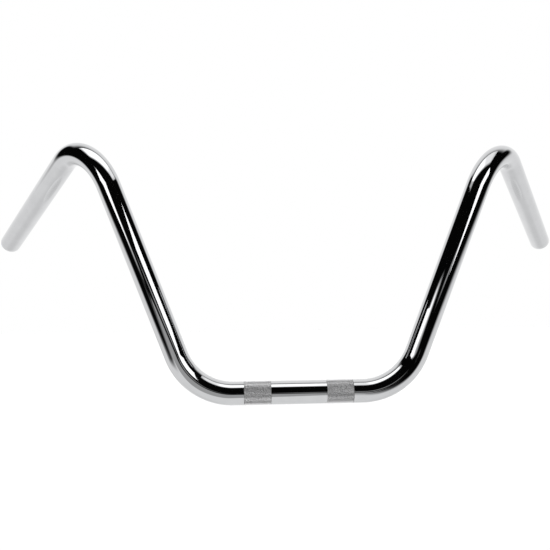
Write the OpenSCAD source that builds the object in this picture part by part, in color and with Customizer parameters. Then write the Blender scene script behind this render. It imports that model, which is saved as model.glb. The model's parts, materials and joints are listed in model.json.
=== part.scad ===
// Bare one inch motorcycle handlebar, a single steel tube that is bent, knurled and chrome plated.
// The origin is on the tube's axis, midway between the two knurled clamp bands.
// +X points to the rider's left, along the clamp section, +Y back to the rider and +Z up.
// The tube is divided where the work done on it changes: at the edges of the bands and the ends of the bends.

/* [Tube] */
// Outside diameter of the tube
tube_d = 25.4; // [22:0.1:32]
// Wall thickness of the tube
wall = 2.4; // [2:0.1:3.2]
// Width of the chamfers on the rims of the open ends
end_chamfer = 0.6; // [0.2:0.1:0.9]

/* [Clamp section] */
// Distance between the middles of the knurled bands, which the risers set
band_spacing = 88.9; // [60:0.1:140]
// Length of each knurled band along the tube
band_length = 29; // [18:1:45]
// Plain straight length between a band and the lower bend
bend_lead = 11; // [2:0.5:40]

/* [Knurl] */
// Diamonds round the tube
knurl_count = 48; // [30:2:60]
// Angle between the rolled grooves and the tube's axis
knurl_angle = 30; // [25:1:45]
// Depth of the rolled grooves
knurl_depth = 0.4; // [0.2:0.05:0.7]

/* [Rise] */
// Radius of the lower bend, on the tube's axis
lower_bend_r = 65; // [45:1:100]
// Angle that the lower bend turns through
lower_bend_angle = 69; // [45:1:90]
// Straight length of the upright between its bends
upright_length = 194; // [40:1:400]

/* [Pullback] */
// Radius of the upper bend, on the tube's axis
upper_bend_r = 52; // [42:1:90]
// Angle that the upper bend turns through
upper_bend_angle = 101.5; // [70:0.5:120]
// Turn of the upper bend's plane towards the rider
pullback_turn = 48; // [20:1:70]
// Straight length of the grip end
grip_length = 200; // [150:1:260]

/* [Wiring dimple] */
// Distance from the upper bend to the dimple's near end
dimple_start = 12; // [4:1:30]
// Length of the dimple along the tube
dimple_length = 56; // [30:1:90]
// Depth of the dimple in the tube's wall
dimple_depth = 1.4; // [0.6:0.1:1.6]
// Radius of the dimple's round floor, across the tube
dimple_floor_r = 8; // [4:0.5:12]
// Turn of the dimple round the tube, from the inside of the upper bend towards the front
dimple_turn = 25; // [0:1:60]

/* [Hidden] */
$fn = 96;
tube_r = tube_d / 2;
bore_r = tube_r - wall;
cut_over = 1;
plain_length = band_spacing - band_length;
band_end = (band_spacing + band_length) / 2;

// A half step is half a diamond, so peaks and groove crossings take turns along every row of points.
half_steps = 2 * knurl_count;
diamond_length = PI * tube_d / knurl_count / tan(knurl_angle);
half_rows = 2 * max(2, round(band_length / diamond_length));

// Lengthwise radius of the dimple, from its length and depth
dimple_sweep_r = (pow(dimple_length / 2, 2) + pow(dimple_depth, 2)) / (2 * dimple_depth);

chrome = "gainsboro";
rolled_steel = "dimgray";

// Places along the tube: in each the tube runs along +X, and its next bend turns towards +Z.

module right() {
    mirror([1, 0, 0]) children();
}

module past_bend(radius, angle) {
    translate([0, 0, radius]) rotate([0, -angle, 0]) translate([0, 0, -radius]) children();
}

module at_lower_bend() {
    translate([band_end + bend_lead, 0, 0]) children();
}

module at_upright() {
    at_lower_bend() past_bend(lower_bend_r, lower_bend_angle) children();
}

module at_upper_bend() {
    at_upright() translate([upright_length, 0, 0]) rotate([pullback_turn - 180, 0, 0]) children();
}

module at_grip_end() {
    at_upper_bend() past_bend(upper_bend_r, upper_bend_angle) children();
}

// Lengths of tube

module rod(radius, length) {
    rotate([0, 90, 0]) cylinder(r = radius, h = length);
}

module straight_tube(length) {
    difference() {
        rod(tube_r, length);
        translate([-cut_over, 0, 0]) rod(bore_r, length + 2 * cut_over);
    }
}

module bent_tube(radius, angle) {
    translate([0, 0, radius]) rotate([90, 90, 0]) rotate_extrude(angle = angle) translate([radius, 0])
        difference() {
            circle(r = tube_r);
            circle(r = bore_r);
        }
}

// Knurled band: one point for each half step round and along, raised at the peaks of the diamonds

function is_peak(step, row) = (step + row) % 2 == 0;

function knurl_point(step, row) =
    let (r = is_peak(step, row) ? tube_r : tube_r - knurl_depth, turn = 360 * step / half_steps)
    [band_length * row / half_rows, r * cos(turn), r * sin(turn)];

function knurl_index(step, row) = row * half_steps + step % half_steps;

// Each square of the grid is folded along the groove that crosses it.
function knurl_square(step, row) =
    let (
        a = knurl_index(step, row),
        b = knurl_index(step + 1, row),
        c = knurl_index(step + 1, row + 1),
        d = knurl_index(step, row + 1)
    )
    is_peak(step, row) ? [[a, d, b], [b, d, c]] : [[a, c, b], [a, d, c]];

module knurled_rod() {
    ring = [for (step = [0:half_steps - 1]) step];
    first_middle = half_steps * (half_rows + 1);
    last_middle = first_middle + 1;
    points = concat(
        [for (row = [0:half_rows], step = ring) knurl_point(step, row)],
        [[0, 0, 0], [band_length, 0, 0]]
    );
    squares = [for (row = [0:half_rows - 1], step = ring) each knurl_square(step, row)];
    first_end = [for (step = ring) [first_middle, knurl_index(step, 0), knurl_index(step + 1, 0)]];
    last_end = [
        for (step = ring)
        [last_middle, knurl_index(step + 1, half_rows), knurl_index(step, half_rows)]
    ];
    polyhedron(points = points, faces = concat(squares, first_end, last_end));
}

module knurl() {
    color(rolled_steel) translate([plain_length / 2, 0, 0]) difference() {
        knurled_rod();
        translate([-cut_over, 0, 0]) rod(bore_r, band_length + 2 * cut_over);
    }
}

// Plain lengths

module centre_section() {
    color(chrome) translate([-plain_length / 2, 0, 0]) straight_tube(plain_length);
}

module lower_bend() {
    color(chrome) union() {
        translate([band_end, 0, 0]) straight_tube(bend_lead);
        at_lower_bend() bent_tube(lower_bend_r, lower_bend_angle);
    }
}

module upright() {
    color(chrome) at_upright() straight_tube(upright_length);
}

module upper_bend() {
    color(chrome) at_upper_bend() bent_tube(upper_bend_r, upper_bend_angle);
}

// Grip end: a straight tube with its open rim chamfered inside and out, and a dimple under it for the wiring

module chamfered_tube(length) {
    shoulder = length - end_chamfer;
    rotate([0, 90, 0]) rotate_extrude() polygon([
        [bore_r, 0],
        [tube_r, 0],
        [tube_r, shoulder],
        [tube_r - end_chamfer, length],
        [bore_r + end_chamfer, length],
        [bore_r, shoulder]
    ]);
}

module dimple() {
    rotate([-dimple_turn, 0, 0])
        translate([dimple_start + dimple_length / 2, 0, tube_r - dimple_depth + dimple_sweep_r])
            rotate([90, 0, 0]) rotate_extrude()
                translate([dimple_sweep_r - dimple_floor_r, 0]) circle(r = dimple_floor_r);
}

module grip_end() {
    color(chrome) at_grip_end() difference() {
        chamfered_tube(grip_length);
        dimple();
    }
}

centre_section();
knurl();  // left_knurl
right() knurl();  // right_knurl
lower_bend();  // left_lower_bend
right() lower_bend();  // right_lower_bend
upright();  // left_upright
right() upright();  // right_upright
upper_bend();  // left_upper_bend
right() upper_bend();  // right_upper_bend
grip_end();  // left_grip_end
right() grip_end();  // right_grip_end
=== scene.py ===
import json
import math

import bpy
import numpy as np
from mathutils import Matrix, Vector


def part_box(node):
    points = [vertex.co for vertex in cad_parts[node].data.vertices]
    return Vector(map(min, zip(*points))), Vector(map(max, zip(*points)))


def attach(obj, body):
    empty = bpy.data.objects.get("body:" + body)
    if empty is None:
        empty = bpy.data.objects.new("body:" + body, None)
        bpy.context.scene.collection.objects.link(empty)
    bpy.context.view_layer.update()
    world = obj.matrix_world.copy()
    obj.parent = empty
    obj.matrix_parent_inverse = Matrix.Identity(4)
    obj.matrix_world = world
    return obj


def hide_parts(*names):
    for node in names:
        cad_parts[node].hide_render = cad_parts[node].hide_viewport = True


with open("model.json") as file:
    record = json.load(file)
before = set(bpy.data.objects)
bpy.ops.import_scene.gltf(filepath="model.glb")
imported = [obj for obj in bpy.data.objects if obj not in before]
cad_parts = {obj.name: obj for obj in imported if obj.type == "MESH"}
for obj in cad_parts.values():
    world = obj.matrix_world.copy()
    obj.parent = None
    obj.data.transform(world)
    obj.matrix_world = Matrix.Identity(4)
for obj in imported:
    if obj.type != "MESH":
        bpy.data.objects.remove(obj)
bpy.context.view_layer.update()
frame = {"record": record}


# Centre section
# The plain middle of the bar, between the clamp bands: drawn steel tube, polished and chrome plated.
# The whole bar is one length of this tube, so each later piece meets its neighbour flush.

mm_per_metre = 1000
mounts = {mount["name"]: mount for mount in frame["record"]["mounts"]}
tube_radius = mounts["clamp_section"]["dims"]["r_mm"] / mm_per_metre
bore_radius = mounts["left_end_bore"]["dims"]["r_mm"] / mm_per_metre
centre_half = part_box("centre_section")[1].x
ring_points = 128
facing_x = (0, math.pi / 2, 0)
straight_step = 0.005
crease_angle = math.radians(30)
merge_distance = 0.000001


def work_on(piece):
    """Leaves only this piece selected, in object mode."""
    if bpy.context.object and bpy.context.object.mode == "EDIT":
        bpy.ops.object.mode_set(mode="OBJECT")
    bpy.ops.object.select_all(action="DESELECT")
    piece.select_set(True)
    bpy.context.view_layer.objects.active = piece


def add_wall_ring(name):
    """Adds a flat ring of tube wall that faces along X, and leaves it selected in edit mode."""
    bpy.ops.object.select_all(action="DESELECT")
    bpy.ops.mesh.primitive_circle_add(
        vertices=ring_points,
        radius=tube_radius,
        fill_type="NGON",
        rotation=facing_x,
    )
    piece = bpy.context.object
    piece.name = piece.data.name = name
    bpy.ops.object.transform_apply(location=True, rotation=True, scale=True)
    bpy.ops.object.mode_set(mode="EDIT")
    bpy.ops.mesh.select_mode(type="FACE")
    bpy.ops.mesh.select_all(action="SELECT")
    bpy.ops.mesh.inset(thickness=tube_radius - bore_radius)
    bpy.ops.mesh.delete(type="FACE")
    bpy.ops.mesh.select_all(action="SELECT")
    return piece


def draw_straight(length, step):
    """Extrudes the selected ring along X, in steps of about the given length."""
    steps = max(1, round(length / step))
    for _ in range(steps):
        bpy.ops.mesh.extrude_region_move(TRANSFORM_OT_translate={"value": (length / steps, 0, 0)})


def read_rows(points, name):
    """Three numbers for each point of a mesh, one row each."""
    rows = np.empty(len(points) * 3, dtype=np.float32)
    points.foreach_get(name, rows)
    return rows.reshape(-1, 3)


def mark_unbent(piece, start, lead=0, bend_radius=None):
    """Stores each point's place on the straight tube before bending, for marks that follow the tube."""
    x, y, z = read_rows(piece.data.vertices, "co").T
    if bend_radius:
        bent = x > lead
        onward, inward = x - lead, bend_radius - z
        x = np.where(bent, lead + np.arctan2(onward, inward) * bend_radius, x)
        z = np.where(bent, bend_radius - np.hypot(onward, inward), z)
    unbent = piece.data.attributes.new("unbent", "FLOAT_VECTOR", "POINT")
    unbent.data.foreach_set("vector", np.column_stack((start + x, y, z)).astype(np.float32).ravel())


def settle(piece, place):
    """Puts the piece in its place on the bar, with that place in its mesh and its faces outwards."""
    work_on(piece)
    piece.matrix_world = place
    bpy.ops.object.transform_apply(location=True, rotation=True, scale=True)
    bpy.ops.object.mode_set(mode="EDIT")
    bpy.ops.mesh.select_all(action="SELECT")
    bpy.ops.mesh.remove_doubles(threshold=merge_distance)
    bpy.ops.mesh.normals_make_consistent(inside=False)
    bpy.ops.object.mode_set(mode="OBJECT")


def feed(tree, socket, value):
    """Gives a node's input a plain value, or links it to another node's output."""
    if isinstance(value, bpy.types.NodeSocket):
        tree.links.new(value, socket)
    else:
        socket.default_value = value


def calc(tree, operation, *values):
    """One step of arithmetic, on values that are plain or come from other nodes."""
    node = tree.nodes.new("ShaderNodeMath")
    node.operation = operation
    for socket, value in zip(node.inputs, values):
        feed(tree, socket, value)
    return node.outputs["Value"]


def ramp(tree, value, start, end, first=0, last=1, ease="SMOOTHSTEP"):
    """Goes from the first result to the last while the value goes from start to end."""
    node = tree.nodes.new("ShaderNodeMapRange")
    node.interpolation_type = ease
    feed(tree, node.inputs["Value"], value)
    feed(tree, node.inputs["From Min"], start)
    feed(tree, node.inputs["From Max"], end)
    feed(tree, node.inputs["To Min"], first)
    feed(tree, node.inputs["To Max"], last)
    return node.outputs["Result"]


def blend(tree, kind, share, first, second):
    """A colour, RGBA, or a value, FLOAT, between two, as the share says."""
    mix = tree.nodes.new("ShaderNodeMix")
    mix.data_type = kind
    feed(tree, mix.inputs["Factor"], share)
    feed(tree, mix.inputs["A"], first)
    feed(tree, mix.inputs["B"], second)
    return mix.outputs["Result"]


def raise_surface(tree, height, distance, under=None):
    """A bump of the given height in metres, over any bump below it."""
    bump = tree.nodes.new("ShaderNodeBump")
    bump.inputs["Distance"].default_value = distance
    tree.links.new(height, bump.inputs["Height"])
    if under:
        tree.links.new(under, bump.inputs["Normal"])
    return bump.outputs["Normal"]


haze_detail = 5
haze_roughness = 0.6
haze_starts, haze_full = 0.32, 0.72
line_stretch = (0.03, 1, 1)
line_detail = 3
speck_scale = 300
speck_edge, speck_middle = 0.12, 0.05
speckless_share = 0.86


def tube_marks_group():
    """Marks that handling leaves on metal: cloudy haze, fine lines along the tube and a few specks."""
    group = bpy.data.node_groups.new("tube marks", "ShaderNodeTree")
    group.interface.new_socket("Place", in_out="INPUT", socket_type="NodeSocketVector")
    group.interface.new_socket("Cloud Scale", in_out="INPUT", socket_type="NodeSocketFloat")
    group.interface.new_socket("Line Scale", in_out="INPUT", socket_type="NodeSocketFloat")
    for name in ("Haze", "Lines", "Specks"):
        group.interface.new_socket(name, in_out="OUTPUT", socket_type="NodeSocketFloat")
    nodes, links = group.nodes, group.links
    given = nodes.new("NodeGroupInput").outputs
    result = nodes.new("NodeGroupOutput").inputs

    clouds = nodes.new("ShaderNodeTexNoise")
    clouds.inputs["Detail"].default_value = haze_detail
    clouds.inputs["Roughness"].default_value = haze_roughness
    links.new(given["Place"], clouds.inputs["Vector"])
    links.new(given["Cloud Scale"], clouds.inputs["Scale"])
    links.new(ramp(group, clouds.outputs["Fac"], haze_starts, haze_full), result["Haze"])

    drawn_out = nodes.new("ShaderNodeMapping")
    drawn_out.inputs["Scale"].default_value = line_stretch
    links.new(given["Place"], drawn_out.inputs["Vector"])
    lines = nodes.new("ShaderNodeTexNoise")
    lines.inputs["Detail"].default_value = line_detail
    links.new(drawn_out.outputs["Vector"], lines.inputs["Vector"])
    links.new(given["Line Scale"], lines.inputs["Scale"])
    links.new(lines.outputs["Fac"], result["Lines"])

    dust = nodes.new("ShaderNodeTexVoronoi")
    dust.inputs["Scale"].default_value = speck_scale
    links.new(given["Place"], dust.inputs["Vector"])
    speck = ramp(group, dust.outputs["Distance"], speck_edge, speck_middle, ease="LINEAR")
    draw = nodes.new("ShaderNodeSeparateColor")
    links.new(dust.outputs["Color"], draw.inputs["Color"])
    few = calc(group, "GREATER_THAN", draw.outputs["Red"], speckless_share)
    links.new(calc(group, "MULTIPLY", speck, few), result["Specks"])
    return group


tube_marks = tube_marks_group()


def start_metal(name, cloud_scale, line_scale):
    """A metal with the marks of handling, ready to take its own colours and roughness."""
    metal = bpy.data.materials.new(name)
    metal.use_nodes = True
    surface = metal.node_tree.nodes["Principled BSDF"].inputs
    surface["Metallic"].default_value = 1.0
    marks = metal.node_tree.nodes.new("ShaderNodeGroup")
    marks.node_tree = tube_marks
    marks.inputs["Cloud Scale"].default_value = cloud_scale
    marks.inputs["Line Scale"].default_value = line_scale
    return metal, surface, marks


def kept_on_mesh(tree, name):
    """What the mesh keeps under this name for each of its points."""
    kept = tree.nodes.new("ShaderNodeAttribute")
    kept.attribute_name = name
    return kept.outputs


chrome_clear = (0.63, 0.635, 0.645, 1)
chrome_hazed = (0.60, 0.605, 0.615, 1)
# The dimple's darker chrome colour is painted shade.
chrome_dimple_shade = (0.57, 0.575, 0.585, 1)
clear_rough, hazed_rough, speck_rough, unpolished_rough = 0.015, 0.05, 0.12, 0.22
chrome_cloud_scale, chrome_line_scale = 60, 900
ripple_scale, ripple_detail = 90, 1
ripple_height = 0.00001
polish_line_height = 0.0000008


def plated_chrome():
    """Bright chrome over polished steel, with wiping haze, faint polishing lines and a slight ripple."""
    metal, surface, marks = start_metal("polished chrome", chrome_cloud_scale, chrome_line_scale)
    tree, links = metal.node_tree, metal.node_tree.links
    place = kept_on_mesh(tree, "unbent")["Vector"]
    links.new(place, marks.inputs["Place"])
    ripple = tree.nodes.new("ShaderNodeTexNoise")
    ripple.inputs["Scale"].default_value = ripple_scale
    ripple.inputs["Detail"].default_value = ripple_detail
    links.new(place, ripple.inputs["Vector"])

    haze = marks.outputs["Haze"]
    # Inside the dimple the plate is rougher, as it is left unpolished there, and darker in colour as
    # painted shade.
    dimple = kept_on_mesh(tree, "unpolished_and_shaded")["Fac"]
    polished = blend(tree, "RGBA", haze, chrome_clear, chrome_hazed)
    links.new(blend(tree, "RGBA", dimple, polished, chrome_dimple_shade), surface["Base Color"])
    wiped = blend(tree, "FLOAT", haze, clear_rough, hazed_rough)
    specked = blend(tree, "FLOAT", marks.outputs["Specks"], wiped, speck_rough)
    links.new(blend(tree, "FLOAT", dimple, specked, unpolished_rough), surface["Roughness"])
    waved = raise_surface(tree, ripple.outputs["Fac"], ripple_height)
    links.new(raise_surface(tree, marks.outputs["Lines"], polish_line_height, waved), surface["Normal"])
    return metal


steel_clean = (0.33, 0.32, 0.31, 1)
steel_bloomed = (0.17, 0.12, 0.085, 1)
clean_rough, bloomed_rough = 0.38, 0.7
bore_cloud_scale, bore_line_scale = 130, 700
drawing_line_height = 0.00003


def bare_bore():
    """The inside of the tube, which the plating doesn't reach: dull drawn steel with a brown bloom."""
    metal, surface, marks = start_metal("bare steel bore", bore_cloud_scale, bore_line_scale)
    tree, links = metal.node_tree, metal.node_tree.links
    links.new(kept_on_mesh(tree, "unbent")["Vector"], marks.inputs["Place"])
    bloom = marks.outputs["Haze"]
    links.new(blend(tree, "RGBA", bloom, steel_clean, steel_bloomed), surface["Base Color"])
    links.new(blend(tree, "FLOAT", bloom, clean_rough, bloomed_rough), surface["Roughness"])
    links.new(raise_surface(tree, marks.outputs["Lines"], drawing_line_height), surface["Normal"])
    return metal


chrome = plated_chrome()
bare_steel = bare_bore()


def plate(piece, node):
    """Plates the outside, leaves the bore bare, hangs the piece on the root body and hides the CAD node in
    its place.
    """
    work_on(piece)
    bpy.ops.object.shade_smooth_by_angle(angle=crease_angle)
    piece.data.materials.append(chrome)
    piece.data.materials.append(bare_steel)
    unbent = read_rows(piece.data.attributes["unbent"].data, "vector")
    inside = np.hypot(unbent[:, 1], unbent[:, 2]) < (tube_radius + bore_radius) / 2
    for face in piece.data.polygons:
        face.material_index = int(all(inside[point] for point in face.vertices))
    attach(piece, "root")
    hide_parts(node)


centre_section = add_wall_ring("centre_section_plated")
draw_straight(2 * centre_half, straight_step)
work_on(centre_section)
mark_unbent(centre_section, -centre_half)
settle(centre_section, Matrix.Translation((-centre_half, 0, 0)))
plate(centre_section, "centre_section")


# Clamp bands
# Diamond knurling rolled into the tube where the risers grip it, so that the bar can't turn in its clamps.
# The teeth are left dull, with painted shade dark in the grooves and brighter flattened tips.

band_start, band_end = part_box("left_knurl")[0].x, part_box("left_knurl")[1].x
teeth_round = 48
teeth_along = 10
tooth_length = (band_end - band_start) / teeth_along
groove_depth = 0.0004
groove_radius = tube_radius - groove_depth
tip_inset = 0.00042
same_place = 0.00001


def copy_across(piece, name):
    """The same piece on the bar's right half, as a mirrored copy with its own mesh."""
    twin = piece.copy()
    twin.data = piece.data.copy()
    twin.name = twin.data.name = name
    bpy.context.scene.collection.objects.link(twin)
    if "unbent" in twin.data.attributes:
        unbent = twin.data.attributes["unbent"].data
        places = read_rows(unbent, "vector")
        places[:, 0] *= -1
        unbent.foreach_set("vector", places.ravel())
    settle(twin, Matrix.Diagonal((-1, 1, 1, 1)))
    return twin


def select_edges(piece, wanted):
    """Selects the edges whose two end points pass the test, and goes to edit mode."""
    work_on(piece)
    mesh = piece.data
    for group in (mesh.vertices, mesh.edges, mesh.polygons):
        group.foreach_set("select", np.zeros(len(group), dtype=bool))
    for edge in mesh.edges:
        edge.select = wanted(*(mesh.vertices[point].co for point in edge.vertices))
    bpy.context.tool_settings.mesh_select_mode = (False, True, False)
    bpy.ops.object.mode_set(mode="EDIT")


def is_square(a, b):
    """True for the first grid's own edges, inside the band: along the tube, or round it."""
    on_rim = any(abs(a.x - rim) < same_place for rim in (band_start, band_end))
    along = (a.yz - b.yz).length < same_place
    return along or (abs(a.x - b.x) < same_place and not on_rim)


def at_rim(x):
    """A test for the edges of a rim at this place along the tube."""
    return lambda a, b: abs(a.x - x) < same_place and abs(b.x - x) < same_place


def in_bore(a, b):
    """True for the edges round the bore."""
    return max(a.yz.length, b.yz.length) < bore_radius + same_place


bpy.ops.object.select_all(action="DESELECT")
bpy.ops.mesh.primitive_circle_add(
    vertices=teeth_round,
    radius=groove_radius,
    fill_type="NOTHING",
    location=(band_start, 0, 0),
    rotation=facing_x,
)
left_knurl = bpy.context.object
left_knurl.name = left_knurl.data.name = "left_knurl_rolled"
bpy.ops.object.transform_apply(location=True, rotation=True, scale=True)
bpy.ops.object.mode_set(mode="EDIT")
bpy.ops.mesh.select_all(action="SELECT")
for _ in range(teeth_along):
    bpy.ops.mesh.extrude_edges_move(TRANSFORM_OT_translate={"value": (tooth_length, 0, 0)})
bpy.ops.mesh.select_all(action="SELECT")
bpy.ops.mesh.normals_make_consistent(inside=False)
bpy.ops.mesh.poke()
select_edges(left_knurl, is_square)
bpy.ops.mesh.dissolve_edges(use_verts=False)
bpy.ops.mesh.select_mode(type="FACE")
bpy.ops.mesh.select_all(action="SELECT")
bpy.ops.mesh.inset(thickness=tip_inset, depth=groove_depth, use_individual=True)
for rim in (band_start, band_end):
    select_edges(left_knurl, at_rim(rim))
    bpy.ops.mesh.extrude_edges_move(TRANSFORM_OT_translate={"value": (0, 0, 0)})
    shrink = bore_radius / groove_radius
    bpy.ops.transform.resize(value=(1, shrink, shrink), center_override=(rim, 0, 0))
select_edges(left_knurl, in_bore)
bpy.ops.mesh.bridge_edge_loops()
settle(left_knurl, Matrix.Identity(4))
right_knurl = copy_across(left_knurl, "right_knurl_rolled")

# The grey in the grooves is painted shade; the brighter tips are wear from the clamps.
groove_shade_grey = (0.54, 0.54, 0.54, 1)
tip_clear = (0.92, 0.92, 0.93, 1)
tip_hazed = (0.84, 0.84, 0.85, 1)
groove_rough, tip_rough = 0.5, 0.3
tip_share = 1 / 8
tip_radius = tube_radius - groove_depth * tip_share
square_to_tube = (0, 1, 1)
band_cloud_scale, band_line_scale = 300, 1500
rolling_line_height = 0.00001


def knurled_steel():
    """Dull plate on rolled teeth: grey down in the grooves as painted shade, and tips rubbed brighter by
    the clamps.
    """
    metal, surface, marks = start_metal("knurled steel", band_cloud_scale, band_line_scale)
    tree, links = metal.node_tree, metal.node_tree.links
    place = tree.nodes.new("ShaderNodeTexCoord").outputs["Object"]
    links.new(place, marks.inputs["Place"])
    square = tree.nodes.new("ShaderNodeVectorMath")
    square.operation = "MULTIPLY"
    square.inputs[1].default_value = square_to_tube
    links.new(place, square.inputs[0])
    off_axis = tree.nodes.new("ShaderNodeVectorMath")
    off_axis.operation = "LENGTH"
    links.new(square.outputs["Vector"], off_axis.inputs[0])
    height = ramp(tree, off_axis.outputs["Value"], groove_radius, tip_radius, ease="LINEAR")

    tips = blend(tree, "RGBA", marks.outputs["Haze"], tip_clear, tip_hazed)
    links.new(blend(tree, "RGBA", height, groove_shade_grey, tips), surface["Base Color"])
    links.new(blend(tree, "FLOAT", height, groove_rough, tip_rough), surface["Roughness"])
    links.new(raise_surface(tree, marks.outputs["Lines"], rolling_line_height), surface["Normal"])
    return metal


knurl_finish = knurled_steel()
for knurl, node in ((left_knurl, "left_knurl"), (right_knurl, "right_knurl")):
    knurl.data.materials.append(knurl_finish)
    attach(knurl, "root")
    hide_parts(node)


# Lower bends
# The tube leaves each clamp band straight for a little way, then bends up into the upright.
# It is bent cold round a former, which keeps the tube round.

bend_lead = 0.011
lower_bend_radius = 0.065
lower_bend_angle = math.radians(69)
bend_step = math.radians(0.75)


def draw_bend(start, radius, angle):
    """Spins the selected ring from X up towards Z."""
    bpy.ops.mesh.spin(
        steps=max(1, round(angle / bend_step)),
        angle=angle,
        center=(start, 0, radius),
        axis=(0, 1, 0),
    )


def past_bend(radius, angle):
    """The move from the start of a bend to its end."""
    centre = Matrix.Translation((0, 0, radius))
    return centre @ Matrix.Rotation(-angle, 4, "Y") @ centre.inverted()


left_lower_bend = add_wall_ring("left_lower_bend_plated")
draw_straight(bend_lead, straight_step)
draw_bend(bend_lead, lower_bend_radius, lower_bend_angle)
work_on(left_lower_bend)
mark_unbent(left_lower_bend, band_end, bend_lead, lower_bend_radius)
settle(left_lower_bend, Matrix.Translation((band_end, 0, 0)))
plate(copy_across(left_lower_bend, "right_lower_bend_plated"), "right_lower_bend")
plate(left_lower_bend, "left_lower_bend")


# Uprights
# Straight lengths of the same tube that lean outwards from the lower bends.
# Nothing is fixed to them: they only lift the grips to the rider's hands.

upright_length = 0.194

at_upright = (
    Matrix.Translation((band_end + bend_lead, 0, 0))
    @ past_bend(lower_bend_radius, lower_bend_angle)
)
upright_start = band_end + bend_lead + lower_bend_radius * lower_bend_angle

left_upright = add_wall_ring("left_upright_plated")
draw_straight(upright_length, straight_step)
work_on(left_upright)
mark_unbent(left_upright, upright_start)
settle(left_upright, at_upright)
plate(copy_across(left_upright, "right_upright_plated"), "right_upright")
plate(left_upright, "left_upright")


# Upper bends
# The second pair of bends, which bring the tube over the top, down and back towards the rider.
# Their planes are turned away from the uprights' plane, so the ends are swept back.

upper_bend_radius = 0.052
upper_bend_angle = math.radians(101.5)
pullback_turn = math.radians(48)

at_upper_bend = (
    at_upright
    @ Matrix.Translation((upright_length, 0, 0))
    @ Matrix.Rotation(pullback_turn - math.pi, 4, "X")
)
upper_bend_start = upright_start + upright_length

left_upper_bend = add_wall_ring("left_upper_bend_plated")
draw_bend(0, upper_bend_radius, upper_bend_angle)
work_on(left_upper_bend)
mark_unbent(left_upper_bend, upper_bend_start, 0, upper_bend_radius)
settle(left_upper_bend, at_upper_bend)
plate(copy_across(left_upper_bend, "right_upper_bend_plated"), "right_upper_bend")
plate(left_upper_bend, "left_upper_bend")


# Grip ends
# The straight ends that take the grips and controls, cut square, with their rims broken by a small chamfer.
# A shallow dimple is pressed into the underside of each, next to the bend, for the switch wiring.

grip_length = 0.200
rim_chamfer = 0.0006
chamfer_steps = 2
dimple_start = 0.012
dimple_length = 0.056
dimple_depth = 0.0014
dimple_floor_radius = 0.008
dimple_turn = math.radians(25)
dimple_lip = 0.0003
dimple_step = 0.001

at_grip_end = at_upper_bend @ past_bend(upper_bend_radius, upper_bend_angle)
at_dimple = at_grip_end @ Matrix.Rotation(-dimple_turn, 4, "X")
grip_start = upper_bend_start + upper_bend_radius * upper_bend_angle

left_grip_end = add_wall_ring("left_grip_end_plated")
draw_straight(dimple_start, dimple_step)
draw_straight(dimple_length, dimple_step)
draw_straight(grip_length - dimple_start - dimple_length, straight_step)
select_edges(left_grip_end, at_rim(grip_length))
bpy.ops.mesh.bevel(offset=rim_chamfer, segments=chamfer_steps, affect="EDGES")
work_on(left_grip_end)
mark_unbent(left_grip_end, grip_start)

# The punch's rounded floor meets the tube's wall in a soft lip.
x, y, z = read_rows(left_grip_end.data.vertices, "co").T
around = np.arctan2(y, z)
wall_top = tube_radius * np.cos(around)
off_middle = tube_radius * np.sin(around)
rise_along = (x - dimple_start - dimple_length / 2) ** 2 * dimple_depth / (dimple_length / 2) ** 2
across = np.minimum(np.abs(off_middle), dimple_floor_radius)
rise_across = dimple_floor_radius - np.sqrt(dimple_floor_radius ** 2 - across ** 2)
over_floor = wall_top - (tube_radius - dimple_depth + rise_along + rise_across)
pressed = (over_floor + np.sqrt(over_floor ** 2 + dimple_lip ** 2)) / 2
pressed = np.where((np.cos(around) > 0) & (over_floor > -2 * dimple_lip), pressed, 0)
# How deep each point lies in the dimple: the chrome is rougher there, and darker as painted shade.
unpolished_and_shaded = left_grip_end.data.attributes.new("unpolished_and_shaded", "FLOAT", "POINT")
unpolished_and_shaded.data.foreach_set("value", (pressed / dimple_depth).astype(np.float32))
press = left_grip_end.vertex_groups.new(name="dimple")
for point in np.flatnonzero(pressed):
    press.add([int(point)], float(pressed[point] / dimple_depth), "REPLACE")
punch = left_grip_end.modifiers.new("punch", "DISPLACE")
punch.direction = "Z"
punch.vertex_group = "dimple"
punch.mid_level = 0
punch.strength = -dimple_depth
bpy.ops.object.modifier_apply(modifier="punch")
left_grip_end.vertex_groups.clear()

settle(left_grip_end, at_dimple)
plate(copy_across(left_grip_end, "right_grip_end_plated"), "right_grip_end")
plate(left_grip_end, "left_grip_end")


# Stage
# White paper behind and under the bar, a dark room in front of it, a lamp panel above and a lamp each side.
# The camera sees plain white behind the bar, and the chrome shows the whole studio.

floor_height = -0.29
floor_size = 8
paper_white = (0.9, 0.9, 0.9, 1)
paper_glow = 0.15
white = (1, 1, 1, 1)
plain_light = 0.55
background_white = 1.0
top_light = 1.4
top_light_size = math.radians(16)

bpy.ops.object.select_all(action="DESELECT")
bpy.ops.mesh.primitive_plane_add(size=floor_size, location=(0, 0, floor_height))
floor = bpy.context.object
floor.name = "studio_floor"
floor.visible_glossy = False
paper = bpy.data.materials.new("white paper")
paper.use_nodes = True
paper_surface = paper.node_tree.nodes["Principled BSDF"].inputs
paper_surface["Base Color"].default_value = paper_white
paper_surface["Roughness"].default_value = 1.0
paper_surface["Specular IOR Level"].default_value = 0.0
paper_surface["Emission Color"].default_value = white
paper_surface["Emission Strength"].default_value = paper_glow
floor.data.materials.append(paper)

bpy.ops.object.light_add(type="SUN", location=(0, 0, 1))
top_lamp = bpy.context.object
top_lamp.name = "top_lamp"
top_lamp.data.energy = top_light
top_lamp.data.angle = top_light_size
top_lamp.visible_glossy = False

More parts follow.
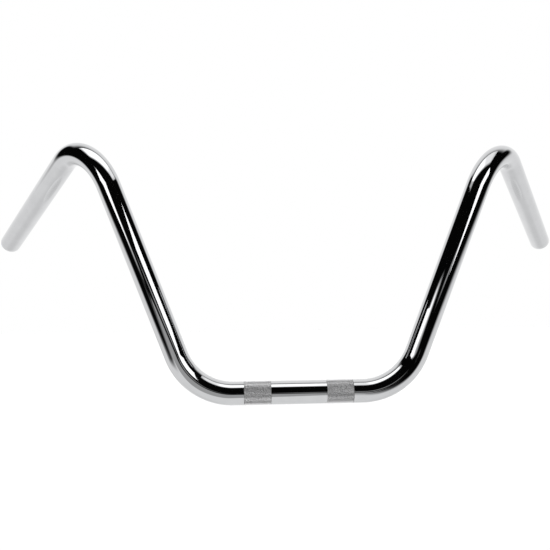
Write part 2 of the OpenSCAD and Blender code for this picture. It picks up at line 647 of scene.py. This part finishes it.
# Lamps and patches of light are named by their side in the picture.
lamp_glow = 1.8
panel_left, panel_right = -0.68, 0.47
panel_front, panel_back = -0.38, 0.08
panel_height = 0.75
panel_slope = -0.12
panel_fades = (
    ("X", -0.50, -0.34, 0.33, 1.0),
    ("X", 0.17, 0.27, 1.0, 0.69),
    ("X", 0.40, 0.50, 1.0, 0.64),
    ("Y", -0.50, -0.20, 0.15, 1.0),
)
bar_middle = 0.12


def lamp_face(name, fades=()):
    """A bright lamp face. Each fade runs along an axis of the lamp, between two shares of its glow."""
    face = bpy.data.materials.new(name)
    face.use_nodes = True
    tree = face.node_tree
    tree.nodes.clear()
    place = tree.nodes.new("ShaderNodeSeparateXYZ")
    tree.links.new(tree.nodes.new("ShaderNodeTexCoord").outputs["Object"], place.inputs["Vector"])
    glow = lamp_glow
    for axis, start, end, first_share, last_share in fades:
        share = ramp(tree, place.outputs[axis], start, end, first_share, last_share)
        glow = calc(tree, "MULTIPLY", share, glow)
    shine = tree.nodes.new("ShaderNodeEmission")
    feed(tree, shine.inputs["Strength"], glow)
    tree.links.new(shine.outputs["Emission"], tree.nodes.new("ShaderNodeOutputMaterial").inputs["Surface"])
    return face


def hang_lamp(name, place, width, height, fades=()):
    """Hangs a flat lamp that only the metal shows."""
    bpy.ops.object.select_all(action="DESELECT")
    bpy.ops.mesh.primitive_plane_add(size=1)
    lamp = bpy.context.object
    lamp.name = name
    lamp.matrix_world = place @ Matrix.Diagonal((width, height, 1, 1))
    lamp.data.materials.append(lamp_face(name, fades))
    lamp.visible_camera = False
    lamp.visible_diffuse = False
    lamp.visible_shadow = False


def hang_side_lamp(name, azimuth, elevation, distance, roll, width, height):
    """Hangs a lamp in this direction from the bar's middle, square to it, in degrees and metres."""
    round_bar = Matrix.Rotation(math.radians(azimuth), 4, "Z")
    up = Matrix.Rotation(math.radians(90 - elevation), 4, "X")
    turned = Matrix.Rotation(math.radians(roll), 4, "Z")
    middle = Matrix.Translation((0, 0, bar_middle))
    hang_lamp(name, middle @ round_bar @ up @ Matrix.Translation((0, 0, distance)) @ turned, width, height)


panel_middle = (panel_left + panel_right) / 2
panel_place = Matrix.Translation((
    panel_middle,
    (panel_front + panel_back) / 2,
    panel_height + panel_slope * panel_middle,
)) @ Matrix.Rotation(-math.atan(panel_slope), 4, "Y")
panel_width = (panel_right - panel_left) / math.cos(math.atan(panel_slope))
hang_lamp("top_panel", panel_place, panel_width, panel_back - panel_front, panel_fades)
hang_side_lamp(
    "left_lamp", azimuth=-42.4, elevation=11.6, distance=0.85, roll=-15.4, width=0.444, height=0.236
)
hang_side_lamp(
    "right_lamp", azimuth=36.5, elevation=16.5, distance=1.27, roll=28, width=0.80, height=0.44
)

corner_power = 3


def soft_patch_group():
    """A rounded patch of directions with a soft edge, in degrees round and up, which may lean."""
    group = bpy.data.node_groups.new("soft patch", "ShaderNodeTree")
    for name in ("Azimuth", "Elevation", "Middle", "Half Width", "Height", "Half Height", "Lean", "Soft"):
        group.interface.new_socket(name, in_out="INPUT", socket_type="NodeSocketFloat")
    group.interface.new_socket("Mask", in_out="OUTPUT", socket_type="NodeSocketFloat")
    given = group.nodes.new("NodeGroupInput").outputs
    result = group.nodes.new("NodeGroupOutput").inputs

    def reach(offset, half):
        """How far out an offset lies, as a share of the half size, raised to round the corners."""
        share = calc(group, "ABSOLUTE", calc(group, "DIVIDE", offset, half))
        return calc(group, "POWER", share, corner_power)

    rise = calc(group, "SUBTRACT", given["Elevation"], given["Height"])
    leant = calc(group, "MULTIPLY", rise, given["Lean"])
    swing = calc(group, "SUBTRACT", calc(group, "SUBTRACT", given["Azimuth"], given["Middle"]), leant)
    both = calc(group, "ADD", reach(swing, given["Half Width"]), reach(rise, given["Half Height"]))
    from_middle = calc(group, "POWER", both, 1 / corner_power)
    outer, inner = calc(group, "ADD", 1, given["Soft"]), calc(group, "SUBTRACT", 1, given["Soft"])
    group.links.new(ramp(group, from_middle, outer, inner), result["Mask"])
    return group


soft_patch = soft_patch_group()

studio = bpy.data.worlds.new("paper studio")
bpy.context.scene.world = studio
studio.use_nodes = True
air = studio.node_tree

outwards = air.nodes.new("ShaderNodeSeparateXYZ")
air.links.new(air.nodes.new("ShaderNodeTexCoord").outputs["Generated"], outwards.inputs["Vector"])
to_side, to_back, to_top = outwards.outputs["X"], outwards.outputs["Y"], outwards.outputs["Z"]
to_front = calc(air, "MULTIPLY", to_back, -1)
azimuth = calc(air, "DEGREES", calc(air, "ARCTAN2", to_side, to_front))
elevation = calc(air, "DEGREES", calc(air, "ARCSINE", to_top))


def past(value, edge, soft):
    """A soft step from 0 to 1 where the value passes the edge."""
    return ramp(air, value, edge - soft, edge + soft)


def lay(light, name, glow, middle, half_width, height, half_height, lean, soft):
    """Lays a patch of this glow over the studio's light so far. Azimuth 0 is towards the camera."""
    patch = air.nodes.new("ShaderNodeGroup")
    patch.node_tree = soft_patch
    patch.label = name
    given = (azimuth, elevation, middle, half_width, height, half_height, lean, soft)
    for socket, value in zip(patch.inputs, given):
        feed(air, socket, value)
    return blend(air, "FLOAT", patch.outputs["Mask"], light, glow)


paper_light = 0.96
back_paper = 1.04
back_paper_edge = 0.55
back_paper_edge_soft = 0.45
# Painted shadow of the grips on the paper below them, as the metal shows it.
paper_grip_shadow = 0.86
paper_shade = 0.8
room_dark = 0.002
room_edge = -0.27
room_edge_soft = 0.22
room_edge_turn = -0.1
table_drop = 0.29
table_lean = 0.18
table_edge_soft = 0.12
table_light = 0.46
window_light = 1.9
lamp_spill = 0.4

# The paper, lightest behind the bar, with a painted shadow of each grip and a shade, low on each side.
light = blend(air, "FLOAT", past(to_back, back_paper_edge, back_paper_edge_soft), paper_light, back_paper)
for side in (-1, 1):
    light = lay(
        light, "painted grip shadow", paper_grip_shadow,
        middle=138 * side, half_width=30, height=-57, half_height=13, lean=0, soft=0.7,
    )
    light = lay(
        light, "paper shade", paper_shade,
        middle=143 * side, half_width=14, height=-24, half_height=11, lean=0, soft=0.6,
    )

# The dark room in front, down to the edge of the table.
towards_room = calc(air, "ADD", to_front, calc(air, "MULTIPLY", to_side, room_edge_turn))
table_edge = calc(air, "MULTIPLY", calc(air, "MAXIMUM", to_front, 0), table_drop)
table_side = calc(air, "MULTIPLY", to_side, table_lean)
over_table = calc(air, "ADD", to_top, calc(air, "ADD", table_edge, table_side))
before_paper = past(towards_room, room_edge, room_edge_soft)
in_room = calc(air, "MULTIPLY", before_paper, past(over_table, 0, table_edge_soft))
light = blend(air, "FLOAT", in_room, light, room_dark)

# Dark and bright patches in the room and on the table.
light = lay(
    light, "dark low right", room_dark,
    middle=35, half_width=21, height=-10, half_height=24, lean=0, soft=0.4,
)
light = lay(
    light, "table front", table_light,
    middle=-8, half_width=18.5, height=-20.5, half_height=17.5, lean=0.38, soft=0.03,
)
light = lay(
    light, "left window", window_light,
    middle=-62.5, half_width=42.5, height=8, half_height=13.5, lean=-0.89, soft=0.11,
)
light = lay(
    light, "dark low left", room_dark,
    middle=-46, half_width=22, height=-8, half_height=19.5, lean=0.79, soft=0.39,
)
light = lay(
    light, "dark left", room_dark,
    middle=-80.5, half_width=41, height=13, half_height=30, lean=-0.83, soft=0.15,
)
light = lay(
    light, "dark right", room_dark,
    middle=53, half_width=56, height=16.5, half_height=21, lean=0.98, soft=0.15,
)
light = lay(
    light, "right lamp glow", lamp_spill,
    middle=11.5, half_width=7, height=3.6, half_height=2.0, lean=-1.2, soft=0.6,
)

rays = air.nodes.new("ShaderNodeLightPath").outputs
mirrored = calc(air, "MAXIMUM", rays["Is Glossy Ray"], rays["Is Transmission Ray"])
lit = blend(air, "FLOAT", mirrored, plain_light, light)
background = air.nodes["Background"].inputs
background["Color"].default_value = white
air.links.new(blend(air, "FLOAT", rays["Is Camera Ray"], lit, background_white), background["Strength"])

bpy.context.scene.view_settings.view_transform = "Standard"


# Camera
# It stands in front of the bar, a little to the rider's right of its middle, level with the uprights.

image_width = 550
focal_pixels = 641.9
sensor_width = 36
nearest_view = 0.01
camera_distance = 0.6918
camera_aim = Vector((-0.0244, 0, 0.1268))
camera_yaw = math.radians(3.99)
camera_pitch = math.radians(0.14)
camera_roll = math.radians(-0.45)

camera_data = bpy.data.cameras.new("camera")
camera_data.sensor_width = sensor_width
camera_data.lens = focal_pixels / image_width * sensor_width
camera_data.clip_start = nearest_view
camera = bpy.data.objects.new("camera", camera_data)
bpy.context.scene.collection.objects.link(camera)
forward = Vector((
    math.sin(camera_yaw) * math.cos(camera_pitch),
    math.cos(camera_yaw) * math.cos(camera_pitch),
    -math.sin(camera_pitch),
))
turn = forward.to_track_quat("-Z", "Y").to_matrix().to_4x4()
camera.matrix_world = (
    Matrix.Translation(camera_aim - camera_distance * forward) @ turn @ Matrix.Rotation(camera_roll, 4, "Z")
)
bpy.context.scene.camera = camera
